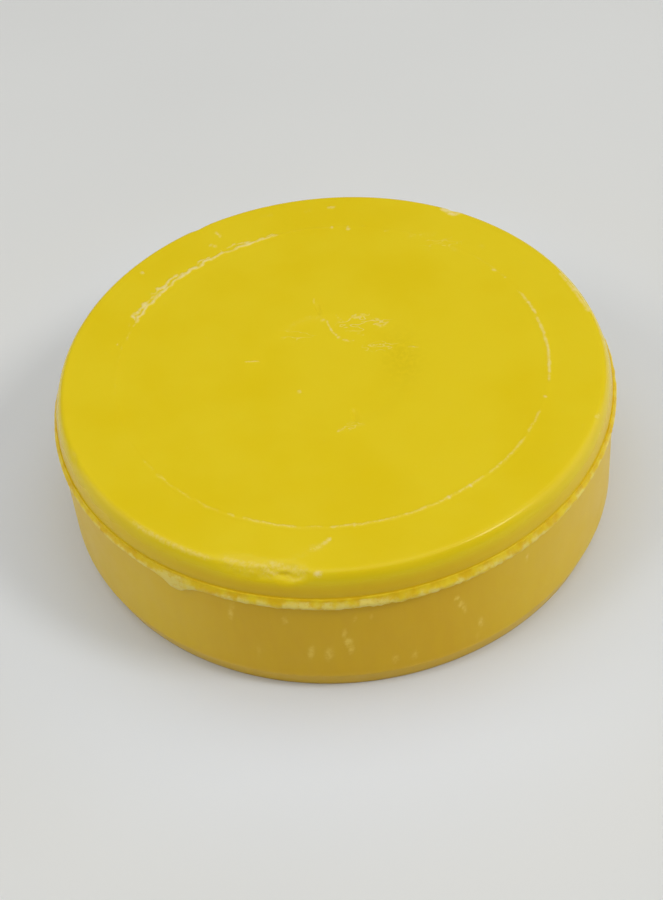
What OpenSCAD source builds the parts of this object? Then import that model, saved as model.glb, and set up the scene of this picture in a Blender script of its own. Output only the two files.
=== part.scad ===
// Round cake of bow rosin, with the flash from its two-part mould still on it.
// Millimetres. +Z is up, and the origin is the centre of the underside.

/* [Cake] */
// Diameter of the lower wall
cake_d = 50; // [40:0.5:60]
// Height of the top face above the underside
cake_h = 14.5; // [11:0.1:20]
// Height of the tapered foot
foot_h = 1.9; // [0.5:0.1:3]
// How far the foot tapers in by the underside
foot_inset = 0.65; // [0.1:0.05:1]

/* [Upper band] */
// Height of the band between the parting line and the top face
band_h = 2.45; // [2.3:0.05:3]
// How far the band steps in from the lower wall at the parting line
band_step = 0.1; // [0.05:0.01:0.3]
// How far the band's rounded shoulder draws in by the top face
shoulder_inset = 1.05; // [0.8:0.05:1.8]
// Height of the rounded shoulder
shoulder_h = 2; // [1.4:0.1:2.2]

/* [Top face] */
// Radius of the witness ring, as a share of the wall's radius
ring_share = 0.77; // [0.5:0.01:0.85]
// Width of the witness ring's ridge
ring_w = 0.3; // [0.1:0.05:0.6]
// Height of the witness ring's ridge
ring_h = 0.06; // [0.02:0.01:0.2]
// Radius of the sink mark in the middle, as a share of the wall's radius
sink_share = 0.31; // [0.15:0.01:0.4]
// Depth of the sink mark
sink_depth = 0.1; // [0.05:0.01:0.5]
// Width of the slope round the sink mark's floor
sink_slope_w = 1.4; // [0.5:0.1:2.5]

/* [Mould flash] */
// How far the flash stands out from the wall
flash_out = 0.4; // [0.1:0.05:0.8]
// Height of the flash where it meets the wall
flash_h = 1; // [0.4:0.1:1.5]
// Direction of the torn flap, anticlockwise from +X, in degrees
flap_angle = 235; // [0:0.5:360]
// Width of the torn flap along the wall
flap_w = 5; // [2:0.1:9]
// How far the torn flap hangs below the flash
flap_drop = 1.2; // [0.5:0.1:2.2]
// Thickness of the torn flap
flap_t = 0.3; // [0.1:0.05:0.4]

/* [Hidden] */
$fn = 180;
SHOULDER_STEPS = 12;
SIDE_PULL = 0.5;
SIDE_LEAN = 0.13;
TOP_PULL = 0.53;
FLAP_ROOT = 0.3;
wall_r = cake_d / 2;
band_r = wall_r - band_step;
parting_z = cake_h - band_h;
flash_z = parting_z - flash_h;
ring_r = wall_r * ring_share;
sink_r = wall_r * sink_share;

// The upright band above the parting line, then a smooth curve over to the flat top. The
// curve leaves the band leaning in by SIDE_LEAN of its inset over SIDE_PULL of its height,
// and runs level over the last TOP_PULL of its inset.
function shoulder() = concat(
    [[band_r, parting_z]],
    [
        for (i = [0 : SHOULDER_STEPS])
            let (t = i / SHOULDER_STEPS)
            let (near = 3 * (1 - t) * (1 - t) * t)
            let (far = 3 * (1 - t) * t * t)
            let (end = t * t * t)
                [
                    band_r - shoulder_inset * (near * SIDE_LEAN + far * (1 - TOP_PULL) + end),
                    cake_h - shoulder_h + shoulder_h * (near * SIDE_PULL + far + end)
                ]
    ]
);

// Half section of the cake, from the middle of the underside round to the middle of the top.
module cake_section() {
    foot = [[0, 0], [wall_r - foot_inset, 0], [wall_r, foot_h], [wall_r, parting_z]];
    witness_ring = [
        [ring_r + ring_w / 2, cake_h],
        [ring_r, cake_h + ring_h],
        [ring_r - ring_w / 2, cake_h]
    ];
    sink_mark = [
        [sink_r, cake_h],
        [sink_r - sink_slope_w, cake_h - sink_depth],
        [0, cake_h - sink_depth]
    ];
    polygon(concat(foot, shoulder(), witness_ring, sink_mark));
}

// Solid rosin, cast in one piece.
module rosin_cake() {
    color([0.86, 0.76, 0.15])
        rotate_extrude()
            cake_section();
}

// The fin's section: widest a little above its lower edge, and thinning up to the parting line.
module flash_section() {
    lip_r = wall_r + flash_out * 0.8;
    widest_r = wall_r + flash_out;
    widest_z = flash_z + flash_h * 0.35;
    neck_r = wall_r + flash_out * 0.5;
    neck_z = flash_z + flash_h * 0.8;
    polygon([
        [wall_r, flash_z],
        [lip_r, flash_z],
        [widest_r, widest_z],
        [neck_r, neck_z],
        [wall_r, parting_z]
    ]);
}

// Outline of the torn flap, seen from outside: two slopes down to a short, blunt tip. Its
// upper corners lie inside the flash, FLAP_ROOT being its root's share of the flash's height.
module flap_outline() {
    half_w = flap_w / 2;
    root_z = flash_z + flash_h * FLAP_ROOT;
    corner_z = flash_z + flash_h * FLAP_ROOT / 3;
    tip_z = flash_z - flap_drop;
    tip_left = -flap_w * 0.08;
    tip_right = flap_w * 0.1;
    polygon([
        [-half_w, root_z],
        [-half_w, corner_z],
        [tip_left, tip_z],
        [tip_right, tip_z],
        [half_w, corner_z],
        [half_w, root_z]
    ]);
}

module torn_flap() {
    intersection() {
        rotate_extrude()
            translate([wall_r, flash_z - flap_drop])
                square([flap_t, flap_drop + flash_h * FLAP_ROOT]);
        rotate([0, 0, flap_angle])
            rotate([90, 0, 90])
                linear_extrude(height = cake_d)
                    flap_outline();
    }
}

// Rosin squeezed out at the parting line, with one wider flap torn down over the wall.
module mould_flash() {
    color([0.84, 0.76, 0.36])
        union() {
            rotate_extrude()
                flash_section();
            torn_flap();
        }
}

rosin_cake();
mould_flash();
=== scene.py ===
import math

import bpy
import numpy as np
from mathutils import Matrix, Vector, noise


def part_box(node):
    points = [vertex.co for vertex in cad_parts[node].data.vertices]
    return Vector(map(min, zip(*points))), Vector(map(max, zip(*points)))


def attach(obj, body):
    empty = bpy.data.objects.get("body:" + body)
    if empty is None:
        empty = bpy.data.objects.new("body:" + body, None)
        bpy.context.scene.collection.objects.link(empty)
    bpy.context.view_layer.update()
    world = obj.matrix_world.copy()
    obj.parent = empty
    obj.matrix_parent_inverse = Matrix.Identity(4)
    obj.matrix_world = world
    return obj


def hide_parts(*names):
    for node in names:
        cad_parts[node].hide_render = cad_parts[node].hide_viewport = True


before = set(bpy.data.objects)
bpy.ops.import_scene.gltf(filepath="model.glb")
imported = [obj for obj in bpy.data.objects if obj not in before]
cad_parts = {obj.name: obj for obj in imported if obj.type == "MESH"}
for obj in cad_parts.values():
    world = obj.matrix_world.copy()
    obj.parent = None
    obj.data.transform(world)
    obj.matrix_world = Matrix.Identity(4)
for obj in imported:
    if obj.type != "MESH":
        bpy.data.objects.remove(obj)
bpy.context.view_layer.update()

# A round cake of bow rosin on a pale table. The cake and its ragged flash are built
# here as meshes in place of the plain CAD solids. Lengths are in millimetres until a
# mesh is made, and angles run anticlockwise from +X, seen from above.

MM = 0.001

# ---- levels taken from the CAD frame, where the witness ring stands RIDGE_H above the top
_, cake_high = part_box("rosin_cake")
_, flash_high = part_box("mould_flash")
RIDGE_H = 0.06
WALL_R = cake_high.x / MM
TOP_Z = cake_high.z / MM - RIDGE_H
PARTING_Z = flash_high.z / MM
FLASH_OUT = flash_high.x / MM - WALL_R

# ---- the cake's section, as in the CAD
FOOT_H = 1.9
FOOT_INSET = 0.65
BAND_STEP = 0.1
SHOULDER_INSET = 1.05
SHOULDER_H = 2.0
SIDE_PULL = 0.5
SIDE_LEAN = 0.13
TOP_PULL = 0.53
BAND_R = WALL_R - BAND_STEP
TOP_EDGE_R = BAND_R - SHOULDER_INSET

# ---- the underside's worn edge, and the mould's marks, set a little closer than in the CAD
FOOT_EDGE_R = 0.05
RING_R = 0.7736 * WALL_R
SINK_R = 0.31 * WALL_R
SINK_CENTRE = (0.0, -0.75)
SINK_DEPTH = 0.09
SINK_SLOPE_W = 1.5

# ---- the cake's mesh: steps round it, and gaps between rows, finest where the relief is
CAKE_SEGMENTS = 720
UNDERSIDE_START_R = 2.5
UNDERSIDE_GAP = 4.0
FOOT_EDGE_TURNS = (0.0, 30.0, 60.0)
# Rows beside the foot's line, as heights from it. The plain wall's rows begin WALL_START
# above that line and end WALL_END below the parting line.
FOOT_LINE_ROWS = (-0.2, -0.08, 0.04, 0.16, 0.32)
WALL_START = 0.7
WALL_END = 0.1
WALL_GAP = 0.5
BAND_GAP = 0.2
SHOULDER_GAP = 0.045
RIM_GAP = 0.35
RING_ZONE = 0.7
RING_GAP = 0.1
PLAIN_GAP = 0.62
SINK_ZONE = 1.2
SINK_GAP = 0.26
TOP_END_R = 0.3

# ---- where each surface's relief fades in, as distances in from the wall: none, then all
TOP_FADE = (1.2, 1.5)
SIDE_FADE = (1.2, 0.6)
UNDERSIDE_FADE = (0.8, 2.0)
# How far down from the top face its own marks, and the rim's scuffs and painted highlights, may
# reach.
MARK_REACH = 0.3
RIM_SCUFF_AND_HIGHLIGHT_REACH = 0.5
# Where the painted shade on the shoulder fades out, from the wall's shaded colour to the top's, as
# distances down from the top face.
SHADE_TURN = (1.7, 0.6)
# A chip moves the rim both in and down by this share of its depth.
CHIP_SHARE = 0.7

# ---- how deep the small unevenness is: slow rolls, finer ripples, pits and wear
TOP_ROLL = 0.012
TOP_RIPPLE = 0.003
PIT_DEPTH = 0.012
SIDE_ROLL = 0.02
SIDE_RIPPLE = 0.006
UNDERSIDE_ROLL = 0.02
FOOT_WEAR = 0.03
FOOT_WEAR_W = 0.1
# The faint pale line just above the foot's line, partly pale wear on that edge and partly a painted
# highlight of it: its strength, height up and half width.
HAZE_POWDER_AND_HIGHLIGHT = 0.12
HAZE_UP = 0.2
HAZE_W = 0.25

# ---- the flash's mesh: it keeps a hair inside the CAD's fin, and just clear of the wall
FLASH_SEGMENTS = 1440
FLASH_MOST = FLASH_OUT - 0.01
FLASH_LEAST = 0.02


# ---------------------------------------------------------------- small helpers

def smooth(low, high, value):
    """0 up to low, 1 past high, and an S-curve between. Low may be the larger of the two."""
    t = np.clip((value - low) / (high - low), 0.0, 1.0)
    return t * t * (3.0 - 2.0 * t)


def steps(start, stop, gap):
    """Evenly spaced values from start up to, but without, stop, about gap apart."""
    count = max(1, round(abs(stop - start) / gap))
    return np.linspace(start, stop, count, endpoint=False)


def by_angle(degrees, table):
    """Value at each angle, read from a list of (angle, value) that goes once round."""
    angles, values = zip(*table)
    return np.interp(degrees % 360.0, angles, values, period=360.0)


def wobble(points, size, seed):
    """Smooth noise, about -1 to 1, with features about size across."""
    shift = Vector((13.7 * seed, 5.1 * seed, 9.3 * seed))
    flat = np.asarray(points, float).reshape(-1, 3) / size
    values = [noise.noise(Vector(p) + shift) for p in flat]
    return np.array(values).reshape(np.shape(points)[:-1])


def angle_gap(degrees, centre):
    """Signed difference between two angles, from -180 to 180."""
    return (degrees - centre + 180.0) % 360.0 - 180.0


def line_distance(x, y, points):
    """Distance from each (x, y) to a line of straight pieces."""
    best = np.full(np.shape(x), np.inf)
    for (ax, ay), (bx, by) in zip(points, points[1:]):
        dx, dy = bx - ax, by - ay
        t = np.clip(((x - ax) * dx + (y - ay) * dy) / (dx * dx + dy * dy), 0.0, 1.0)
        best = np.minimum(best, np.hypot(x - ax - t * dx, y - ay - t * dy))
    return best


# ---------------------------------------------------------------- marks on the cake
# Each mark is (points, width, powder, relief): a line on the surface in millimetres, its
# half width, how much pale powder it shows from 0 to 1, and how far it stands up or, if
# negative, how deep it is cut.

TOP_MARKS = [
    # the main cold fold, from the sink mark's far edge down into its floor
    (
        [(-0.5, 6.1), (0.0, 5.95), (0.15, 5.3), (0.4, 4.4), (0.9, 3.6), (1.5, 3.1), (2.2, 2.9)],
        0.1, 0.5, 0.02,
    ),
    ([(0.9, 6.5), (1.3, 5.9), (1.6, 5.4)], 0.09, 0.28, 0.015),
    # the curl to its right
    ([(2.3, 6.1), (2.8, 6.4), (3.4, 6.2), (4.0, 5.7), (4.8, 5.3)], 0.1, 0.5, 0.02),
    ([(4.5, 4.9), (4.8, 4.5), (5.3, 4.6), (5.4, 4.9)], 0.09, 0.42, 0.02),
    ([(2.7, 3.8), (3.1, 3.5)], 0.13, 0.36, 0.02),
    ([(3.6, 2.1), (4.6, 2.1), (5.5, 1.6)], 0.1, 0.35, 0.015),
    ([(7.1, 1.4), (7.8, 1.2)], 0.11, 0.35, 0.015),
    # a dark nick with a pale line above it
    ([(-1.0, 9.2), (-1.0, 8.4)], 0.14, 0.25, 0.0),
    ([(-0.8, 8.0), (-0.6, 7.1)], 0.2, 0.0, -0.1),
    # a dimple at the sink mark's near edge, and the crumb beside it
    ([(1.6, -6.2), (1.7, -7.2)], 0.22, 0.0, -0.08),
    ([(0.1, -8.35), (0.5, -8.25)], 0.14, 0.5, 0.02),
    ([(0.9, -8.0), (2.3, -7.9)], 0.25, 0.16, 0.0),
    # a soft haze at the sink mark's far left
    ([(-3.6, 5.2), (-2.9, 6.0), (-1.4, 6.6), (-0.6, 6.4)], 0.4, 0.14, 0.0),
    # short ticks and specks
    ([(-7.6, 1.4), (-6.5, 1.4)], 0.09, 0.45, 0.02),
    ([(-3.05, -3.0), (-2.95, -3.1)], 0.18, 0.5, 0.02),
    ([(-17.1, 15.3), (-16.9, 15.1)], 0.16, 0.6, 0.02),
    ([(-10.4, 18.3), (-9.9, 18.1)], 0.22, 0.4, 0.02),
    ([(-9.9, 20.2), (-9.4, 19.5)], 0.18, 0.45, 0.02),
    ([(-5.4, 22.0), (-4.3, 22.2)], 0.16, 0.35, 0.02),
    ([(-1.1, 22.2), (-0.5, 22.3)], 0.18, 0.3, 0.02),
    ([(1.3, 22.4), (1.7, 22.4)], 0.22, 0.45, 0.02),
    ([(2.85, 18.8), (2.95, 18.8)], 0.18, 0.5, 0.02),
    ([(6.4, 18.0), (6.6, 18.0)], 0.2, 0.2, 0.01),
    # faint haze inside the far rim, and the pale crumb on it
    ([(8.7, 16.8), (11.0, 16.8)], 0.5, 0.12, 0.0),
    ([(11.0, 15.7), (12.7, 14.2)], 0.5, 0.12, 0.0),
    ([(15.2, 14.4), (15.4, 14.2)], 0.35, 0.16, 0.0),
    ([(12.35, 20.45), (12.8, 20.05)], 0.26, 1.0, 0.05),
    ([(13.25, 20.15), (13.8, 19.7)], 0.2, 1.0, 0.05),
    ([(12.9, 19.65), (13.4, 19.5)], 0.2, 0.9, 0.03),
    ([(15.9, 10.8), (16.0, 10.7)], 0.18, 0.45, 0.02),
    # smudges by the near rim and on the right
    ([(-3.0, -21.5), (-2.3, -21.3)], 0.4, 0.3, 0.01),
    ([(-1.9, -20.9), (-1.5, -20.7)], 0.2, 0.6, 0.02),
    ([(-4.4, -22.2), (-3.5, -22.0)], 0.5, 0.12, 0.0),
    ([(22.1, -9.6), (22.5, -9.3)], 0.2, 0.35, 0.01),
]

# Patches of fine curling cold folds: (x, y, half length, half width, strength).
FOLD_PATCHES = [
    (3.4, 5.2, 2.6, 1.1, 1.0),
    (4.6, 1.9, 1.8, 0.7, 0.7),
    (-2.7, 4.7, 1.9, 1.2, 0.45),
    (1.2, -8.0, 1.4, 0.5, 0.5),
    (11.5, 15.4, 2.2, 0.9, 0.3),
]

# The dull, finely pitted patch on the right of the sink mark: its middle, and its half
# width and half length.
PITTED_MIDDLE = (6.3, 0.2)
PITTED_REACH = (1.7, 3.2)

# Where the witness ring shows: (first angle, last angle, strength, how flaky it is).
RING_STRETCHES = [
    (-14.0, 24.0, 0.52, 0.25),
    (-63.0, -25.0, 0.33, 0.3),
    (-120.0, -63.0, 0.35, 0.3),
    (-150.0, -122.0, 0.22, 0.5),
    (102.0, 118.0, 0.7, 0.75),
    (118.0, 155.0, 0.85, 1.0),
    (155.0, 166.0, 0.3, 0.8),
    (166.0, 206.0, 0.1, 0.3),
    (24.0, 44.0, 0.15, 0.4),
    (60.0, 100.0, 0.12, 0.5),
]
RING_BEADS = [
    (-57.0, 0.7), (-63.5, 0.8), (-88.0, 0.5), (-20.0, 0.5), (14.0, 0.6), (17.5, 0.7),
    (29.5, 0.4), (81.5, 0.5), (86.0, 0.5),
]

# Chips and knocks on the rim: (angle, width along the rim, height up and down, depth, powder).
RIM_CHIPS = [
    (56.8, 0.5, 0.35, 0.2, 0.9),
    (118.5, 0.9, 0.4, 0.1, 0.35),
    (250.5, 2.6, 1.0, 0.22, 0.16),
    (254.5, 1.0, 0.7, 0.15, 0.3),
    (257.8, 0.95, 0.9, 0.5, 0.08),
    (260.6, 0.6, 0.7, 0.2, 0.22),
    (263.8, 0.38, 0.35, 0.04, 0.8),
    (200.0, 0.9, 0.5, 0.08, 0.15),
]

# Scuffs along the rim, and painted highlights on the front shoulder: (first angle, last angle,
# distance in from the wall, width, powder).
RIM_SCUFFS_AND_HIGHLIGHTS = [
    (9.0, 26.0, 0.9, 0.11, 0.6),
    (11.0, 24.0, 1.15, 0.1, 0.45),
    (16.2, 17.2, 1.0, 0.25, 1.0),
    (9.0, 12.5, 1.0, 0.25, 0.45),
    (27.0, 33.0, 0.8, 0.15, 0.25),
    # painted highlights, not scuffs: the shoulder's highlight on the front left, smeared where the
    # dent breaks it
    (243.0, 263.0, 1.1, 0.45, 0.28),
    (253.5, 257.0, 1.5, 0.35, 0.36),
    (222.0, 244.0, 0.85, 0.22, 0.3),
    # more scuffs
    (62.0, 74.0, 0.7, 0.25, 0.15),
    (112.0, 122.0, 0.8, 0.25, 0.25),
]

# Painted shade: the share of the wall's painted shade that the band above the parting line gets, so
# the wall below it is painted darker, as shade under the flash.
BAND_SHADE_SHARE = 0.7
# Painted shade: how strongly the wall takes its darker, more orange shaded colour at each angle, once
# round; strongest at the front.
SIDE_SHADE_BY_ANGLE = [(0.0, 0.6), (228.0, 0.6), (248.0, 0.95), (288.0, 1.0), (306.0, 0.65), (330.0, 0.6)]

# Scuffs on the lower wall: (angle, height, half length, half width, lean, powder), with
# the lean in degrees from upright.
WALL_SCUFFS = [
    (246.0, 9.0, 0.92, 0.24, 6.0, 0.7),
    (246.8, 10.2, 0.33, 0.22, 0.0, 0.62),
    (250.6, 4.7, 1.0, 0.24, 5.0, 0.35),
    (256.7, 9.2, 0.46, 0.24, -15.0, 0.62),
    (261.0, 5.2, 0.99, 0.26, 10.0, 0.74),
    (264.4, 5.0, 0.92, 0.4, 8.0, 0.64),
    (268.3, 6.4, 0.55, 0.3, 0.0, 1.0),
    (267.7, 7.6, 0.6, 0.2, 5.0, 0.62),
    (268.8, 5.5, 0.6, 0.25, 12.0, 0.7),
    (270.0, 9.4, 0.46, 0.2, 25.0, 0.53),
    (273.0, 9.4, 0.39, 0.2, 10.0, 0.44),
    (277.0, 3.4, 0.6, 0.37, 0.0, 0.5),
    (280.8, 3.4, 0.6, 0.37, 0.0, 0.5),
    (289.8, 9.1, 0.26, 0.23, 0.0, 0.88),
    (290.6, 8.1, 0.37, 0.25, 0.0, 0.97),
    (291.3, 7.3, 0.66, 0.2, -12.0, 0.7),
    (294.8, 4.6, 0.66, 0.26, -8.0, 0.7),
    (294.0, 2.9, 0.53, 0.22, 0.0, 0.35),
    (306.0, 9.3, 0.33, 0.22, 0.0, 0.7),
    (326.0, 7.0, 1.0, 0.4, 10.0, 0.26),
    (20.0, 6.0, 0.92, 0.26, 12.0, 0.62),
    (75.0, 8.0, 0.79, 0.24, -10.0, 0.62),
    (112.0, 4.5, 0.92, 0.3, 15.0, 0.7),
    (150.0, 7.0, 0.66, 0.22, 0.0, 0.53),
]


# ---------------------------------------------------------------- the cake's mesh

def cake_section():
    """(radius, height) from the underside's middle, up the wall and in to the top's middle."""
    return np.array(underside_rows() + wall_rows() + ledge_rows() + shoulder_rows() + top_rows())


def underside_rows():
    """The flat underside, and its slightly rounded edge."""
    foot_r = WALL_R - FOOT_INSET
    rows = [(r, 0.0) for r in steps(UNDERSIDE_START_R, foot_r - FOOT_EDGE_R, UNDERSIDE_GAP)]
    for turn in np.radians(FOOT_EDGE_TURNS):
        rows.append((foot_r - FOOT_EDGE_R * (1 - math.sin(turn)), FOOT_EDGE_R * (1 - math.cos(turn))))
    return rows


def wall_rows():
    """The tapered foot, then the upright wall."""
    foot_line = [FOOT_H + height for height in FOOT_LINE_ROWS]
    heights = np.concatenate([
        steps(FOOT_EDGE_R, foot_line[0], WALL_GAP),
        foot_line,
        steps(FOOT_H + WALL_START, PARTING_Z - WALL_END, WALL_GAP),
    ])
    return [(min(WALL_R, WALL_R - FOOT_INSET + FOOT_INSET * z / FOOT_H), z) for z in heights]


def ledge_rows():
    """The slight step in at the parting line."""
    return [(WALL_R - 0.01, PARTING_Z - 0.05), (BAND_R + 0.03, PARTING_Z), (BAND_R, PARTING_Z + 0.08)]


def shoulder_rows():
    """The upright band, then a smooth curve over to the flat top."""
    start_z = TOP_Z - SHOULDER_H
    rows = [(BAND_R, z) for z in steps(PARTING_Z + BAND_GAP, start_z, BAND_GAP)]
    for t in steps(0.0, 1.0, SHOULDER_GAP):
        near, far, end = 3 * (1 - t) ** 2 * t, 3 * (1 - t) * t ** 2, t ** 3
        inset = SHOULDER_INSET * (near * SIDE_LEAN + far * (1 - TOP_PULL) + end)
        rows.append((BAND_R - inset, start_z + SHOULDER_H * (near * SIDE_PULL + far + end)))
    return rows


def top_rows():
    """The flat top, from its edge in to its middle."""
    radii = np.concatenate([
        steps(TOP_EDGE_R, RING_R + RING_ZONE, RIM_GAP),
        steps(RING_R + RING_ZONE, RING_R - RING_ZONE, RING_GAP),
        steps(RING_R - RING_ZONE, SINK_R + SINK_ZONE, PLAIN_GAP),
        steps(SINK_R + SINK_ZONE, TOP_END_R, SINK_GAP),
    ])
    return [(r, TOP_Z) for r in radii]


def ring_strength(degrees):
    """How clearly the witness ring shows at each angle, and how flaky it is."""
    show = np.full(np.shape(degrees), 0.05)
    flake = np.full(np.shape(degrees), 0.3)
    for first, last, strength, flaking in RING_STRETCHES:
        middle, half = (first + last) / 2, (last - first) / 2
        inside = 1 - smooth(half - 1.5, half + 1.5, np.abs(angle_gap(degrees, middle)))
        show = np.maximum(show, strength * inside)
        flake = np.maximum(flake * (1 - inside), flaking * inside)
    return show, flake


def witness_ring(x, y, degrees):
    """Height and powder of the thin ridge that the mould's insert left on the top."""
    radius = np.hypot(x, y)
    show, flake = ring_strength(degrees)
    at = np.stack([x, y, np.zeros_like(x)], axis=-1)
    fast = wobble(at, 0.8, 4)
    centre = RING_R + 0.12 * wobble(at, 6.0, 3) + 0.32 * flake * fast
    whole = smooth(-0.5, 0.0, wobble(at, 1.1, 5) + 0.7 * show - 0.3 * flake)
    width = 0.14 + 0.22 * flake * np.abs(wobble(at, 0.9, 6))
    line = np.exp(-(((radius - centre) / width) ** 2))
    second = np.exp(-(((radius - centre - 0.45 - 0.4 * wobble(at, 0.6, 16)) / (0.8 * width)) ** 2))
    second *= smooth(0.55, 0.8, flake) * smooth(-0.15, 0.05, wobble(at, 1.7, 7))
    height = RIDGE_H * (0.15 + 0.85 * show) * np.maximum(line * (0.35 + 0.65 * whole), 0.8 * second)
    patchy = 1 - 0.5 * flake * smooth(-0.1, 0.3, wobble(at, 0.7, 15))
    powder = show * np.maximum(line * whole, second) * patchy
    for angle, strength in RING_BEADS:
        bead = np.exp(-((angle_gap(degrees, angle) / 0.45) ** 2) - ((radius - RING_R) / 0.2) ** 2)
        powder = np.maximum(powder, strength * bead)
        height = np.maximum(height, 0.6 * RIDGE_H * bead)
    return height, powder


def sink_mark(x, y):
    """Depth of the shallow round sink mark in the middle of the top."""
    radius = np.hypot(x - SINK_CENTRE[0], y - SINK_CENTRE[1])
    floor = 1 - smooth(SINK_R - SINK_SLOPE_W, SINK_R, radius)
    return SINK_DEPTH * (0.8 * floor + 0.2 * np.clip(1 - (radius / SINK_R) ** 2, 0, 1))


def top_marks(x, y):
    """Relief and powder of the small marks on the top."""
    relief, powder = np.zeros_like(x), np.zeros_like(x)
    for points, width, strength, height in TOP_MARKS:
        mask = np.exp(-((line_distance(x, y, points) / width) ** 2))
        relief += height * mask
        powder = np.maximum(powder, strength * mask)
    return relief, powder


def pitted_patch(x, y):
    """Strength of the pitted patch."""
    across = (x - PITTED_MIDDLE[0]) / PITTED_REACH[0]
    along = (y - PITTED_MIDDLE[1]) / PITTED_REACH[1]
    return np.exp(-(np.hypot(across, along) ** 2))


def fold_patches(x, y):
    """Strength of the patches of fine cold folds."""
    strength = np.zeros_like(x)
    for at_x, at_y, half_length, half_width, most in FOLD_PATCHES:
        reach = np.hypot((x - at_x) / half_length, (y - at_y) / half_width)
        strength = np.maximum(strength, most * (1 - smooth(0.5, 1.2, reach)))
    return strength


def rim_chips(z, degrees, radius):
    """Depth and powder of the knocks on the rim."""
    depth, powder = np.zeros_like(z), np.zeros_like(z)
    for angle, width, height, deep, strength in RIM_CHIPS:
        side = np.radians(angle_gap(degrees, angle)) * WALL_R / width
        up = (z - TOP_Z) / height
        inward = (radius - (BAND_R - SHOULDER_INSET * 0.5)) / height
        reach = side ** 2 + up ** 2 + inward ** 2
        mask = np.exp(-reach ** 1.5)
        depth += deep * mask
        powder = np.maximum(powder, strength * np.exp(-(reach * 0.8) ** 1.5))
    return depth, powder


def rim_scuffs_and_highlights(degrees, radius):
    """Powder of the long scuffs that run round the rim, and the painted highlights along the front
    shoulder.
    """
    powder = np.zeros_like(radius)
    for first, last, inset, width, strength in RIM_SCUFFS_AND_HIGHLIGHTS:
        middle, half = (first + last) / 2, (last - first) / 2
        inside = 1 - smooth(half * 0.7, half + 0.5, np.abs(angle_gap(degrees, middle)))
        line = np.exp(-(((WALL_R - radius) - inset) / width) ** 2)
        powder = np.maximum(powder, strength * inside * line)
    return powder


def wall_scuffs(degrees, z):
    """Powder of the short upright scuffs on the wall."""
    powder = np.zeros_like(z)
    for angle, height, half_length, half_width, lean, strength in WALL_SCUFFS:
        side = np.radians(angle_gap(degrees, angle)) * WALL_R
        up = z - height
        c, s = math.cos(math.radians(lean)), math.sin(math.radians(lean))
        along, across = up * c + side * s, side * c - up * s
        mask = np.exp(-((along / half_length) ** 2) - (across / half_width) ** 2)
        powder = np.maximum(powder, strength * mask)
    return powder


def top_relief(at, degrees, on_top, near_top):
    """How far the top face is lifted, the powder on it, and how pitted it is."""
    x, y = at[..., 0], at[..., 1]
    ring_height, ring_powder = witness_ring(x, y, degrees)
    relief, mark_powder = top_marks(x, y)
    pitted = pitted_patch(x, y) * on_top
    pits = -PIT_DEPTH * pitted * np.abs(wobble(at, 0.28, 8))
    rolling = TOP_ROLL * wobble(at, 7.0, 1) + TOP_RIPPLE * wobble(at, 1.1, 2)
    lift = near_top * np.minimum(ring_height + relief, RIDGE_H) + on_top * (pits - sink_mark(x, y))
    lift += on_top * np.minimum(rolling, 0.0)
    return lift, near_top * np.maximum(ring_powder, mark_powder), pitted


def underside_rise(at, radius):
    """The underside's faint unevenness, as a height above the table."""
    rise = UNDERSIDE_ROLL * (1 + wobble(at, 3.0, 13)) * fade_in(radius, UNDERSIDE_FADE)
    return np.maximum(rise, 0.0) * (at[..., 2] < 0.001)


def fade_in(radius, insets):
    """0 at the first distance in from the wall, 1 at the second, and an S-curve between."""
    none, full = insets
    return smooth(WALL_R - none, WALL_R - full, radius)


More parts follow.
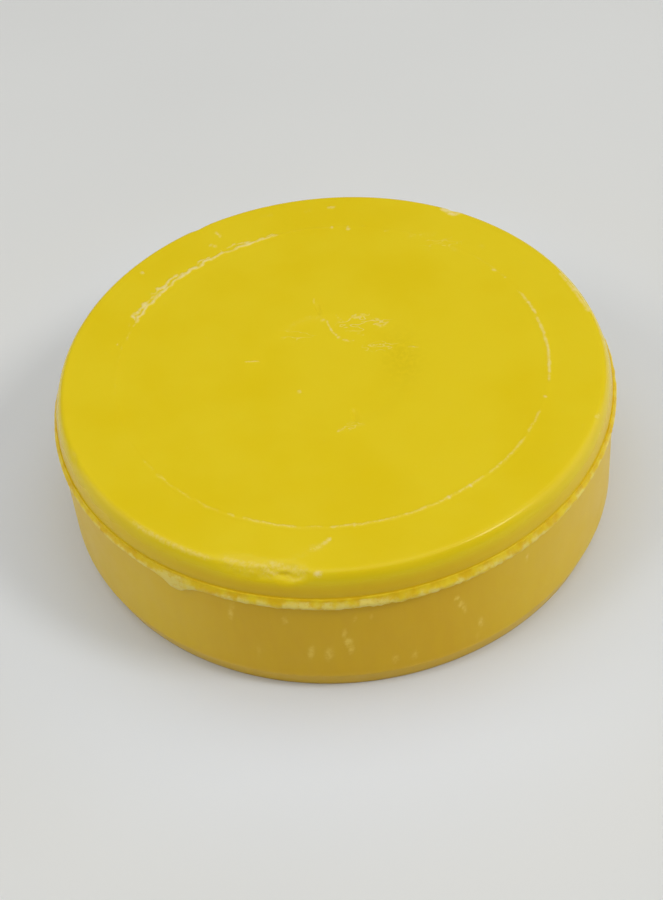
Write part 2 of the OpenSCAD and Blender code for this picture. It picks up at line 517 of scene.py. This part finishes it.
def shaped_cake(section, angles):
    """Positions and painted layers of the cake's surface on a grid of section rows and angles."""
    r = np.repeat(section[:, :1], len(angles), axis=1)
    z = np.repeat(section[:, 1:], len(angles), axis=1)
    turn = np.repeat(angles[None, :], len(section), axis=0)
    degrees = np.degrees(turn)
    x, y = r * np.cos(turn), r * np.sin(turn)
    at = np.stack([x, y, z], axis=-1)

    on_top = fade_in(r, TOP_FADE) * (z > TOP_Z - 0.01)
    near_top = z > TOP_Z - MARK_REACH
    on_side = fade_in(r, SIDE_FADE) * (z > 0.02)
    outside = r > TOP_EDGE_R - 0.05
    above = z > PARTING_Z
    below = z < PARTING_Z - 0.04

    lift, top_powder, pitted = top_relief(at, degrees, on_top, near_top)
    chip, chip_powder = rim_chips(z, degrees, r)
    chip = chip * (1 + 0.35 * wobble(at, 0.45, 9)) * above
    bulge = SIDE_ROLL * wobble(at, 6.0, 10) + SIDE_RIPPLE * wobble(at * [1, 1, 0.3], 1.0, 11)
    edge_wear = np.exp(-(((z - FOOT_H) / FOOT_WEAR_W) ** 2)) * below
    push = np.minimum(bulge, 0.0) * on_side - CHIP_SHARE * chip
    push -= FOOT_WEAR * edge_wear * (0.5 + wobble(at, 0.8, 12))
    new_r = np.maximum(r + push, 0.0)
    new_z = z + lift - CHIP_SHARE * chip + underside_rise(at, r)

    # pale wear just above the foot's line, and partly a painted highlight of that edge
    foot_wear_and_highlight = HAZE_POWDER_AND_HIGHLIGHT * np.exp(-(((z - FOOT_H - HAZE_UP) / HAZE_W) ** 2))
    # The pale layer is powder and wear, and also holds the painted highlights on the front shoulder
    # and above the foot's line.
    powder = np.maximum.reduce([
        top_powder,
        chip_powder * above,
        rim_scuffs_and_highlights(degrees, r) * (z > TOP_Z - RIM_SCUFF_AND_HIGHLIGHT_REACH),
        wall_scuffs(degrees, z) * below * on_side,
        foot_wear_and_highlight * below * on_side,
        0.3 * edge_wear * smooth(-0.5, 0.3, wobble(at, 1.6, 14)),
    ])
    knocked = np.clip(chip / 0.3, 0, 1)
    # Painted shade down the side: the wall and shoulder take the wall's darker, more orange colour,
    # set by angle, weaker on the band above the parting line and on knocked rim.
    side_shade = 1 - smooth(TOP_Z - SHADE_TURN[0], TOP_Z - SHADE_TURN[1], z)
    side_shade = side_shade * (1 - 0.5 * knocked) * np.where(below, 1.0, BAND_SHADE_SHARE)
    layers = {
        "powder": powder,
        "pitted": pitted,
        "folds": on_top * fold_patches(x, y),
        "side": by_angle(degrees, SIDE_SHADE_BY_ANGLE) * side_shade * outside,
        # painted shade on the foot below its line
        "foot": (1 - smooth(FOOT_H - 0.06, FOOT_H + 0.02, z)) * outside,
    }
    return np.stack([new_r * np.cos(turn), new_r * np.sin(turn), new_z], axis=-1), layers


def grid_faces(rows, columns, closed_rows=False):
    """Quads of a grid that wraps round its columns and, if asked, its rows."""
    last = rows if closed_rows else rows - 1
    i, j = np.meshgrid(np.arange(last), np.arange(columns), indexing="ij")
    a = i * columns + j
    b = i * columns + (j + 1) % columns
    c = ((i + 1) % rows) * columns + (j + 1) % columns
    d = ((i + 1) % rows) * columns + j
    return np.stack([a, b, c, d], axis=-1).reshape(-1, 4).tolist()


def new_piece(name, points, faces, layers):
    """A smooth mesh object in metres, with a float attribute for each named layer."""
    mesh = bpy.data.meshes.new(name)
    mesh.from_pydata((np.asarray(points) * MM).tolist(), [], faces)
    for layer, values in layers.items():
        attribute = mesh.attributes.new(layer, "FLOAT", "POINT")
        attribute.data.foreach_set("value", np.asarray(values, np.float32).ravel())
    mesh.validate()
    mesh.shade_smooth()
    piece = bpy.data.objects.new(name, mesh)
    bpy.context.scene.collection.objects.link(piece)
    return piece


def make_cake():
    """The cake as one closed skin: the grid of rows, with a fan of triangles at either end."""
    section = cake_section()
    angles = np.arange(CAKE_SEGMENTS) * 2 * math.pi / CAKE_SEGMENTS
    points, painted = shaped_cake(section, angles)
    rows = len(section)
    faces = grid_faces(rows, CAKE_SEGMENTS)
    flat = points.reshape(-1, 3)
    under = len(flat)
    over = under + 1
    under_point = (0.0, 0.0, points[0, :, 2].mean())
    over_point = (0.0, 0.0, points[-1, :, 2].mean())
    first_of_last = (rows - 1) * CAKE_SEGMENTS
    for j in range(CAKE_SEGMENTS):
        k = (j + 1) % CAKE_SEGMENTS
        faces.append([under, k, j])
        faces.append([over, first_of_last + j, first_of_last + k])
    layers = {}
    for name, values in painted.items():
        layers[name] = np.append(values.ravel(), [values[0, 0], values[-1, 0]])
    return new_piece("cake_casting", np.vstack([flat, under_point, over_point]), faces, layers)


# ---------------------------------------------------------------- the flash's mesh

# How far the flash stands out and hangs down, as (angle, millimetres) once round.
FLASH_REACH = [
    (0.0, 0.28), (90.0, 0.3), (180.0, 0.26), (205.0, 0.28), (226.0, 0.33), (240.0, 0.33),
    (262.0, 0.36), (290.0, 0.37), (312.0, 0.33), (325.0, 0.3),
]
FLASH_DROP = [
    (0.0, 0.5), (40.0, 0.55), (90.0, 0.7), (140.0, 0.65), (180.0, 0.6), (205.0, 0.72),
    (226.0, 0.85), (240.0, 0.85), (262.0, 0.95), (290.0, 0.95), (312.0, 0.85), (325.0, 0.65),
]
# How much pale dust lies on the flash's face.
FLASH_DUST = [
    (0.0, 0.1), (200.0, 0.05), (228.0, 0.06), (257.0, 0.1), (262.0, 0.42), (272.0, 0.42),
    (277.0, 0.14), (320.0, 0.14),
]
# How crumbly the lower edge is.
FLASH_CRUMBS = [
    (0.0, 0.3), (90.0, 0.5), (180.0, 0.25), (226.0, 0.25), (242.0, 0.35), (265.0, 0.55),
    (272.0, 0.9), (308.0, 1.0), (320.0, 0.45),
]
# The torn flap's lower edge: (angle, how far it hangs below the flash).
TORN_FLAP = [
    (229.5, 0.0), (232.0, 0.35), (233.8, 0.9), (235.0, 1.1),
    (236.0, 1.02), (237.4, 0.5), (239.0, 0.18), (241.0, 0.0),
]
# Section of the flash: (share of the reach, share of the drop) from the root's top, down
# the outer face, round the lip and back in under it. Both ends lie inside the wall.
FLASH_SECTION = [
    (-0.25, 0.02), (0.05, 0.0), (0.2, 0.12), (0.36, 0.25), (0.6, 0.38), (0.85, 0.52),
    (1.0, 0.68), (1.0, 0.82), (0.9, 0.95), (0.66, 1.0), (0.4, 0.93), (-0.25, 0.88),
]


def flap_drop(degrees):
    """How far the torn flap hangs below the flash at each angle."""
    angles, drops = zip(*TORN_FLAP)
    return np.interp(degrees % 360.0, angles, drops, left=0.0, right=0.0)


def make_flash():
    """The ragged fin at the parting line, folded down over the wall, with one torn flap."""
    angles = np.arange(FLASH_SEGMENTS) * 2 * math.pi / FLASH_SEGMENTS
    degrees = np.degrees(angles)
    round_wall = np.stack([np.cos(angles), np.sin(angles), np.zeros_like(angles)], axis=-1) * WALL_R
    crumbs = by_angle(degrees, FLASH_CRUMBS)
    dust = by_angle(degrees, FLASH_DUST)
    reach = by_angle(degrees, FLASH_REACH) * (1 + 0.1 * wobble(round_wall, 3.0, 21))
    reach += 0.05 * crumbs * wobble(round_wall, 0.5, 22)
    drop = by_angle(degrees, FLASH_DROP) * (1 + 0.12 * wobble(round_wall, 4.0, 23))
    drop += 0.14 * crumbs * wobble(round_wall, 0.45, 24) + 0.06 * wobble(round_wall, 1.4, 25)
    flap = flap_drop(degrees) * (1 + 0.1 * wobble(round_wall, 0.7, 26))

    rings, powders = [], []
    for out_share, down_share in FLASH_SECTION:
        lip = smooth(0.3, 1.0, down_share)
        down = drop * down_share + flap * lip
        out = reach * out_share
        at = round_wall + np.stack([0 * down, 0 * down, -down], axis=-1)
        face = out_share > 0
        rough = 0.06 * wobble(at, 0.4, 27) * (0.3 + 0.7 * crumbs) + 0.02 * wobble(at, 1.0, 28)
        r = WALL_R + np.minimum(out + rough * face, FLASH_MOST)
        r = np.where(face, np.maximum(r, WALL_R + FLASH_LEAST), r)
        z = PARTING_Z - down
        rings.append(np.stack([r * np.cos(angles), r * np.sin(angles), z], axis=-1))
        blotch = smooth(-0.25, 0.3, wobble(at, 0.9, 29))
        on_lip = 0.8 * np.exp(-(((down_share - 0.72) / 0.26) ** 2))
        pale = dust * (0.5 + blotch) + on_lip * (0.3 + 0.7 * blotch)
        pale += 0.3 * smooth(0.05, 0.7, flap)
        powders.append(np.clip(pale * (out_share > 0.2), 0, 1))
    points = np.array(rings)
    faces = [f[::-1] for f in grid_faces(len(FLASH_SECTION), FLASH_SEGMENTS, closed_rows=True)]
    return new_piece("flash_fin", points.reshape(-1, 3), faces, {"powder": np.array(powders)})


# ---------------------------------------------------------------- materials

# The wall's colours are painted shade: darker and more orange than the top's, standing in for the
# shade on the upright wall, and the pale powder on the wall is shaded to match.
ROSIN_YELLOW = (0.825, 0.63, 0.012)
ROSIN_DEEP = (0.805, 0.6, 0.006)
WALL_SHADED_YELLOW = (0.79, 0.48, 0.001)
WALL_SHADED_DEEP = (0.775, 0.46, 0.001)
# Painted shade on the foot below its line, a little darker than the wall.
FOOT_SHADED = (0.76, 0.47, 0.001)
FLASH_YELLOW = (0.88, 0.64, 0.015)
ROSIN_PALE = (0.88, 0.72, 0.26)
WALL_SHADED_PALE = (0.95, 0.66, 0.08)
FLASH_PALE = (0.9, 0.71, 0.15)
ROSIN_DULL = (0.7, 0.53, 0.004)
TABLE_GREY = (0.755, 0.76, 0.74)
TABLE_PALE = (0.775, 0.78, 0.76)
# The table is a little bluer near the cake, to offset the yellow light that the cake throws on it.
TABLE_COOL = (0.755, 0.795, 0.85)
# Distances from the cake's middle at which that tint is whole, and at which it has gone.
COOL_R = (24.0, 48.0)
# How far light spreads inside the wax, and how much of its shading that makes up.
WAX_DEPTH = 0.8
WAX_SHARE = 0.15


class Nodes:
    """Short calls for building a material's node tree."""

    def __init__(self, name):
        self.material = bpy.data.materials.new(name)
        self.material.use_nodes = True
        self.tree = self.material.node_tree
        self.shader = self.tree.nodes["Principled BSDF"]
        self.place = self.add("ShaderNodeTexCoord").outputs["Object"]

    def add(self, kind, **settings):
        node = self.tree.nodes.new(kind)
        for key, value in settings.items():
            setattr(node, key, value)
        return node

    def link(self, source, target):
        self.tree.links.new(source, target)

    def noise(self, size_mm, detail=2.0, roughness=0.5, stretch=(1, 1, 1)):
        """Noise from 0 to 1 with features about size_mm across."""
        mapping = self.add("ShaderNodeMapping")
        mapping.inputs["Scale"].default_value = [s / (size_mm * MM) for s in stretch]
        texture = self.add("ShaderNodeTexNoise")
        texture.inputs["Scale"].default_value = 1.0
        texture.inputs["Detail"].default_value = detail
        texture.inputs["Roughness"].default_value = roughness
        self.link(self.place, mapping.inputs["Vector"])
        self.link(mapping.outputs["Vector"], texture.inputs["Vector"])
        return texture.outputs["Fac"]

    def attribute(self, name):
        return self.add("ShaderNodeAttribute", attribute_name=name).outputs["Fac"]

    def maths(self, operation, a, b, clamp=False):
        node = self.add("ShaderNodeMath", operation=operation, use_clamp=clamp)
        for socket, value in zip(node.inputs, (a, b)):
            if isinstance(value, (int, float)):
                socket.default_value = value
            else:
                self.link(value, socket)
        return node.outputs[0]

    def remap(self, value, low, high, to_low=0.0, to_high=1.0, curve="SMOOTHSTEP"):
        node = self.add("ShaderNodeMapRange", interpolation_type=curve)
        ends = {"From Min": low, "From Max": high, "To Min": to_low, "To Max": to_high}
        for socket, number in ends.items():
            node.inputs[socket].default_value = number
        self.link(value, node.inputs["Value"])
        return node.outputs["Result"]

    def mix(self, factor, a, b):
        node = self.add("ShaderNodeMix", data_type="RGBA")
        self.link(factor, node.inputs["Factor"])
        for socket, value in ((node.inputs[6], a), (node.inputs[7], b)):
            if isinstance(value, tuple):
                socket.default_value = (*value, 1.0)
            else:
                self.link(value, socket)
        return node.outputs[2]

    def bump(self, height, distance_mm, strength, after=None):
        node = self.add("ShaderNodeBump")
        node.inputs["Distance"].default_value = distance_mm * MM
        node.inputs["Strength"].default_value = strength
        self.link(height, node.inputs["Height"])
        if after is not None:
            self.link(after, node.inputs["Normal"])
        return node.outputs["Normal"]


def powder_mask(nodes):
    """Where pale powder shows: the painted strength, broken up by fine noise."""
    flecks = nodes.remap(nodes.noise(0.35, 3.0, 0.65), 0.3, 0.65, 0.4, 1.5, curve="LINEAR")
    return nodes.remap(nodes.maths("MULTIPLY", nodes.attribute("powder"), flecks), 0.04, 0.85)


def set_wax(shader):
    """The constant settings that rosin and its flash share."""
    shader.inputs["IOR"].default_value = 1.5
    shader.inputs["Specular IOR Level"].default_value = 0.3
    shader.inputs["Specular Tint"].default_value = (1.0, 0.95, 0.65, 1.0)
    shader.inputs["Sheen Weight"].default_value = 0.03
    shader.inputs["Sheen Roughness"].default_value = 0.5
    shader.inputs["Subsurface Weight"].default_value = WAX_SHARE
    shader.inputs["Subsurface Radius"].default_value = (1.0, 0.7, 0.2)
    shader.inputs["Subsurface Scale"].default_value = WAX_DEPTH * MM


def fold_lines(nodes):
    """Thin pale curls, like contour lines of a stretched noise, inside the painted patches."""
    hills = nodes.noise(1.5, 2.0, 0.55, stretch=(0.7, 1.5, 1.0))
    off_level = nodes.maths("ABSOLUTE", nodes.maths("SUBTRACT", hills, 0.5), 0.0)
    line = nodes.remap(off_level, 0.005, 0.022, 1.0, 0.0)
    return nodes.maths("MULTIPLY", line, nodes.attribute("folds"))


def rosin_material():
    """Opaque waxy yellow rosin with a moulded skin, pale scuffs (a few of them painted highlights)
    and a dull pitted patch; the wall and foot are painted darker and more orange as shade.
    """
    nodes = Nodes("rosin_wax")
    side = nodes.attribute("side")
    mottle = nodes.remap(nodes.noise(9.0, 3.0), 0.35, 0.7)
    top = nodes.mix(mottle, ROSIN_YELLOW, ROSIN_DEEP)
    streaks = nodes.remap(nodes.noise(1.2, 3.0, 0.6, stretch=(1.0, 1.0, 0.25)), 0.35, 0.7)
    wall = nodes.mix(streaks, WALL_SHADED_YELLOW, WALL_SHADED_DEEP)
    # Painted shade: the side layer turns the top's colour into the wall's darker, more orange shaded
    # colour.
    colour = nodes.mix(side, top, wall)
    # Painted shade: the foot below its line is painted a little darker.
    colour = nodes.mix(nodes.maths("MULTIPLY", nodes.attribute("foot"), 0.7), colour, FOOT_SHADED)
    grains = nodes.remap(nodes.noise(0.5, 3.0, 0.7), 0.35, 0.6, 0.0, 0.45)
    pitted = nodes.maths("MULTIPLY", nodes.attribute("pitted"), grains)
    colour = nodes.mix(pitted, colour, ROSIN_DULL)
    dust = nodes.remap(nodes.noise(0.6, 4.0, 0.7), 0.62, 0.8, 0.0, 0.06)
    dust = nodes.maths("MULTIPLY", dust, nodes.maths("SUBTRACT", 1.0, side))
    colour = nodes.mix(dust, colour, ROSIN_PALE)
    folds = fold_lines(nodes)
    powder = nodes.maths("MAXIMUM", powder_mask(nodes), nodes.maths("MULTIPLY", folds, 0.6))
    # The powder on the wall takes the wall's painted shade too.
    pale = nodes.mix(side, ROSIN_PALE, WALL_SHADED_PALE)
    colour = nodes.mix(powder, colour, pale)
    nodes.link(colour, nodes.shader.inputs["Base Color"])

    skin = nodes.remap(nodes.noise(2.5, 3.0), 0.3, 0.7, 0.2, 0.26)
    rough = nodes.maths("ADD", skin, nodes.maths("MULTIPLY", side, 0.24))
    rough = nodes.maths("ADD", rough, nodes.maths("MULTIPLY", powder, 0.3), clamp=True)
    nodes.link(rough, nodes.shader.inputs["Roughness"])

    grain = nodes.bump(nodes.noise(0.25, 3.0, 0.6), 0.01, 0.4)
    skin_waves = nodes.bump(nodes.noise(1.6, 2.0), 0.02, 0.35, after=grain)
    flakes = nodes.bump(powder, 0.03, 0.6, after=skin_waves)
    nodes.link(flakes, nodes.shader.inputs["Normal"])
    set_wax(nodes.shader)
    return nodes.material


def flash_material():
    """The same rosin torn thin: paler, powdery and rough."""
    nodes = Nodes("rosin_flash")
    mottle = nodes.remap(nodes.noise(1.2, 3.0), 0.3, 0.7)
    # Its darker mottle takes the wall's painted shaded colour.
    colour = nodes.mix(mottle, FLASH_YELLOW, WALL_SHADED_YELLOW)
    powder = powder_mask(nodes)
    colour = nodes.mix(powder, colour, FLASH_PALE)
    nodes.link(colour, nodes.shader.inputs["Base Color"])
    rough = nodes.remap(nodes.noise(0.5, 3.0), 0.3, 0.7, 0.4, 0.6)
    nodes.link(rough, nodes.shader.inputs["Roughness"])
    crumbly = nodes.bump(nodes.noise(0.3, 4.0, 0.65), 0.06, 0.8)
    nodes.link(crumbly, nodes.shader.inputs["Normal"])
    set_wax(nodes.shader)
    return nodes.material


def table_material():
    """A matt, pale grey sheet."""
    nodes = Nodes("pale_table")
    tone = nodes.remap(nodes.noise(60.0, 2.0), 0.3, 0.7)
    plain = nodes.mix(tone, TABLE_GREY, TABLE_PALE)
    from_cake = nodes.add("ShaderNodeVectorMath", operation="LENGTH")
    nodes.link(nodes.place, from_cake.inputs[0])
    near = nodes.remap(from_cake.outputs["Value"], COOL_R[0] * MM, COOL_R[1] * MM, 1.0, 0.0)
    nodes.link(nodes.mix(near, plain, TABLE_COOL), nodes.shader.inputs["Base Color"])
    nodes.shader.inputs["Roughness"].default_value = 0.6
    nodes.shader.inputs["Specular IOR Level"].default_value = 0.2
    return nodes.material


# ---------------------------------------------------------------- stage, lights and camera
# Angles are in degrees, and lengths are in metres unless they say otherwise.

TABLE_HALF = 1.5

# Softboxes aimed at the cake: (name, azimuth, elevation, distance, size, watts).
SOFTBOXES = [
    ("right_low", 0.0, 20.0, 0.6, 0.5, 0.9),
    ("right_high", -25.0, 48.0, 0.6, 0.14, 0.85),
    ("left_low", 180.0, 20.0, 0.6, 0.4, 0.39),
    ("left_middle", 180.0, 35.0, 0.6, 0.4, 0.27),
    ("left_high", 207.0, 50.0, 0.6, 0.15, 0.37),
    ("above", 90.0, 88.0, 0.8, 1.0, 3.65),
]
WORLD_COLOUR = (1.0, 0.995, 0.98, 1.0)
WORLD_STRENGTH = 0.1

# The camera, as fitted to the cake's outline: how high it looks from, how many wall radii
# it is from the underside's middle, and its yaw, pitch and roll from facing that point.
CAMERA_ELEVATION = 46.494
CAMERA_RADII = 6.8245
CAMERA_TURNS = (-0.2404, -0.8583, 5.4595)
LENS_MM = 72.0
SENSOR_MM = 36.0


def make_table():
    """A large plain sheet under the cake."""
    mesh = bpy.data.meshes.new("table")
    half = TABLE_HALF
    corners = [(-half, -half, 0), (half, -half, 0), (half, half, 0), (-half, half, 0)]
    mesh.from_pydata(corners, [], [(0, 1, 2, 3)])
    table = bpy.data.objects.new("table", mesh)
    bpy.context.scene.collection.objects.link(table)
    mesh.materials.append(table_material())


def softbox(name, azimuth, elevation, distance, size, watts):
    """A square white area light aimed at the cake."""
    a, e = math.radians(azimuth), math.radians(elevation)
    way = Vector((math.cos(a) * math.cos(e), math.sin(a) * math.cos(e), math.sin(e)))
    lamp = bpy.data.lights.new(name, "AREA")
    lamp.shape = "SQUARE"
    lamp.size = size
    lamp.energy = watts
    light = bpy.data.objects.new(name, lamp)
    light.location = way * distance
    light.rotation_euler = way.to_track_quat("Z", "Y").to_euler()
    bpy.context.scene.collection.objects.link(light)


def make_lights():
    """The softboxes, and a faint even light from all round."""
    for settings in SOFTBOXES:
        softbox(*settings)
    world = bpy.data.worlds.new("studio")
    world.use_nodes = True
    background = world.node_tree.nodes["Background"]
    background.inputs["Color"].default_value = WORLD_COLOUR
    background.inputs["Strength"].default_value = WORLD_STRENGTH
    bpy.context.scene.world = world


def make_camera():
    """A short telephoto from in front and above, turned and rolled a little off its target."""
    elevation = math.radians(CAMERA_ELEVATION)
    distance = CAMERA_RADII * WALL_R * MM
    yaw, pitch, roll = (math.radians(a) for a in CAMERA_TURNS)
    place = Vector((0.0, -distance * math.cos(elevation), distance * math.sin(elevation)))
    aimed = (-place).to_track_quat("-Z", "Y").to_matrix()
    turn = Matrix.Rotation(yaw, 3, "Y").transposed() @ Matrix.Rotation(pitch, 3, "X").transposed()
    turn = turn @ Matrix.Rotation(roll, 3, "Z").transposed()
    data = bpy.data.cameras.new("camera")
    data.lens = LENS_MM
    data.sensor_width = SENSOR_MM
    data.clip_start, data.clip_end = 0.005, 20.0
    camera = bpy.data.objects.new("camera", data)
    camera.matrix_world = Matrix.Translation(place) @ (aimed @ turn).to_4x4()
    bpy.context.scene.collection.objects.link(camera)
    bpy.context.scene.camera = camera


# ---------------------------------------------------------------- put it together

make_camera()
make_lights()
make_table()

cake = make_cake()
cake.data.materials.append(rosin_material())
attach(cake, "root")
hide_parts("rosin_cake")

flash = make_flash()
flash.data.materials.append(flash_material())
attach(flash, "root")
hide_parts("mould_flash")

bpy.context.scene.view_settings.view_transform = "Standard"
